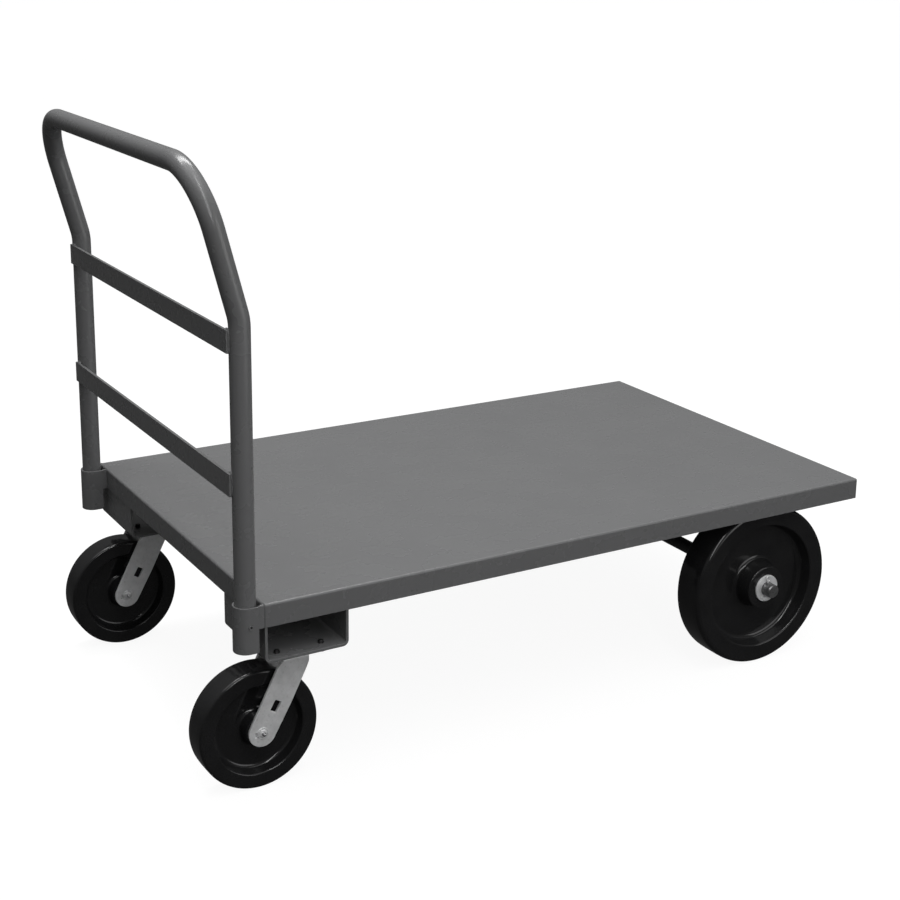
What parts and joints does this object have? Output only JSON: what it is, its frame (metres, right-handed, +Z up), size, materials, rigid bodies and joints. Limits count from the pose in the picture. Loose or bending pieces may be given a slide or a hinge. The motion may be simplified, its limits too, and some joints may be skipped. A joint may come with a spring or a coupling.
{
  "type": "platform truck",
  "caption": "Flat steel platform truck with a flanged deck, lift-out bent-tube handle with two flat straps, swivel casters at the handle end and large fixed wheels at the other.",
  "frame": {"origin": "on the floor below the middle of the truck's bounding box", "axes": "+X along the truck towards the large wheels, +Y to the left of someone looking along +X, +Z up"},
  "size_m": [1.3184, 0.792, 1.0227],
  "materials": {
    "grey_paint": "satin grey baked paint",
    "zinc_plate": "bright zinc plating",
    "mill_steel": "hot-rolled bar with dark mill scale and machined ends",
    "black_oxide": "black oxide on alloy steel screws",
    "bright_steel": "ground steel, lightly oiled",
    "black_phenolic": "glossy moulded black phenolic resin"
  },
  "bodies": {
    "frame": {"deck_pan": "grey_paint", "deck_ribs": "grey_paint", "socket_left": "grey_paint", "socket_right": "grey_paint", "socket_stops": "grey_paint", "socket_welds": "grey_paint", "channel_left": "grey_paint", "channel_right": "grey_paint", "channel_welds": "grey_paint", "bracket_left": "grey_paint", "bracket_right": "grey_paint", "bracket_welds": "grey_paint", "socket_screws": "grey_paint", "axle_collars": "zinc_plate", "axle_spacers": "zinc_plate", "axle_washers": "zinc_plate", "cotter_pins": "zinc_plate", "plate_left": "zinc_plate", "plate_right": "zinc_plate", "kingpin_left": "zinc_plate", "kingpin_right": "zinc_plate", "kingpin_nuts": "zinc_plate", "lower_race_left": "zinc_plate", "lower_race_right": "zinc_plate", "rear_axle": "mill_steel", "caster_screws": "black_oxide"},
    "handle": {"handle_tube": "grey_paint", "upper_strap": "grey_paint", "lower_strap": "grey_paint", "strap_welds": "grey_paint"},
    "caster_left": {"fork_left": "zinc_plate", "axle_pin_left": "zinc_plate", "bushing_left": "bright_steel", "thrust_washers_left": "zinc_plate", "grease_nipple_left": "zinc_plate", "ball_ring_left": "bright_steel", "small_balls_left": "bright_steel"},
    "caster_wheel_left": {"caster_wheel_left": "black_phenolic", "roller_cage_left": "bright_steel"},
    "rear_wheel_left": {"wheel_left": "black_phenolic", "bearing_left": "bright_steel"},
    "caster_right": {"fork_right": "zinc_plate", "axle_pin_right": "zinc_plate", "bushing_right": "bright_steel", "thrust_washers_right": "zinc_plate", "grease_nipple_right": "zinc_plate", "ball_ring_right": "bright_steel", "small_balls_right": "bright_steel"},
    "caster_wheel_right": {"caster_wheel_right": "black_phenolic", "roller_cage_right": "bright_steel"},
    "rear_wheel_right": {"wheel_right": "black_phenolic", "bearing_right": "bright_steel"}
  },
  "joints": [
    {"name": "handle_lift", "type": "slide", "parent": "frame", "child": "handle", "axis": [0, 0, 1], "range_m": [0, 0.12]},
    {"name": "swivel_left", "type": "hinge", "parent": "frame", "child": "caster_left", "pos_m": [-0.49097, 0.311, 0.219], "axis": [0, 0, 1], "continuous": true},
    {"name": "caster_roll_left", "type": "hinge", "parent": "caster_left", "child": "caster_wheel_left", "pos_m": [-0.55097, 0.311, 0.1016], "axis": [0, 1, 0], "continuous": true},
    {"name": "wheel_roll_left", "type": "hinge", "parent": "frame", "child": "rear_wheel_left", "pos_m": [0.45353, 0.332, 0.1524], "axis": [0, 1, 0], "continuous": true},
    {"name": "swivel_right", "type": "hinge", "parent": "frame", "child": "caster_right", "pos_m": [-0.49097, -0.311, 0.219], "axis": [0, 0, 1], "continuous": true},
    {"name": "caster_roll_right", "type": "hinge", "parent": "caster_right", "child": "caster_wheel_right", "pos_m": [-0.55097, -0.311, 0.1016], "axis": [0, 1, 0], "continuous": true},
    {"name": "wheel_roll_right", "type": "hinge", "parent": "frame", "child": "rear_wheel_right", "pos_m": [0.45353, -0.332, 0.1524], "axis": [0, 1, 0], "continuous": true}
  ]
}
